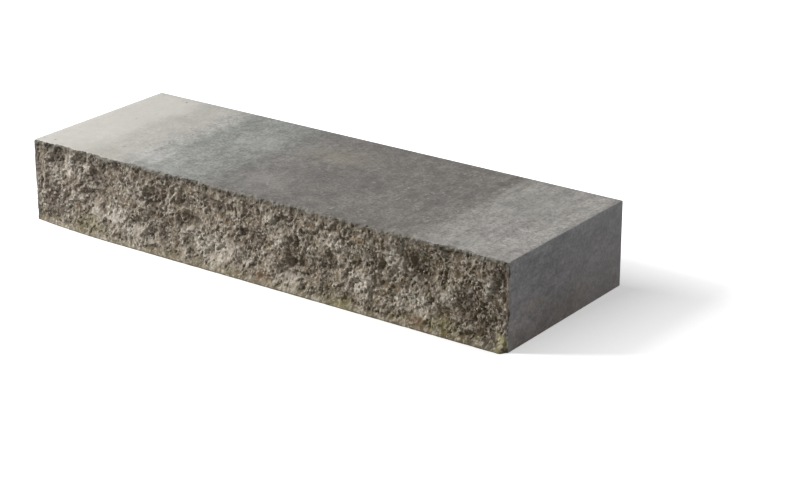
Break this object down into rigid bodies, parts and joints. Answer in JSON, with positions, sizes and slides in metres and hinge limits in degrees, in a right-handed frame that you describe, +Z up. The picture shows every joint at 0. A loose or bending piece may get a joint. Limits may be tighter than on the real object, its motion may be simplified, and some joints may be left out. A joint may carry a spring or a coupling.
{
  "type": "concrete step block",
  "caption": "Solid concrete step block with a smooth tread and ends and a split rock front, laid in courses to build garden and entrance steps.",
  "frame": {"origin": "on the bed face, at the middle of the block's outline", "axes": "+X along the step, -Y out of the split front, +Y out of the back, +Z up out of the tread"},
  "size_m": [1, 0.35, 0.15],
  "materials": {
    "concrete": "matte, smooth from the mould on the tread, back and ends, split and coarse on the front"
  },
  "bodies": {
    "root": {"step_block": "concrete"}
  },
  "joints": []
}
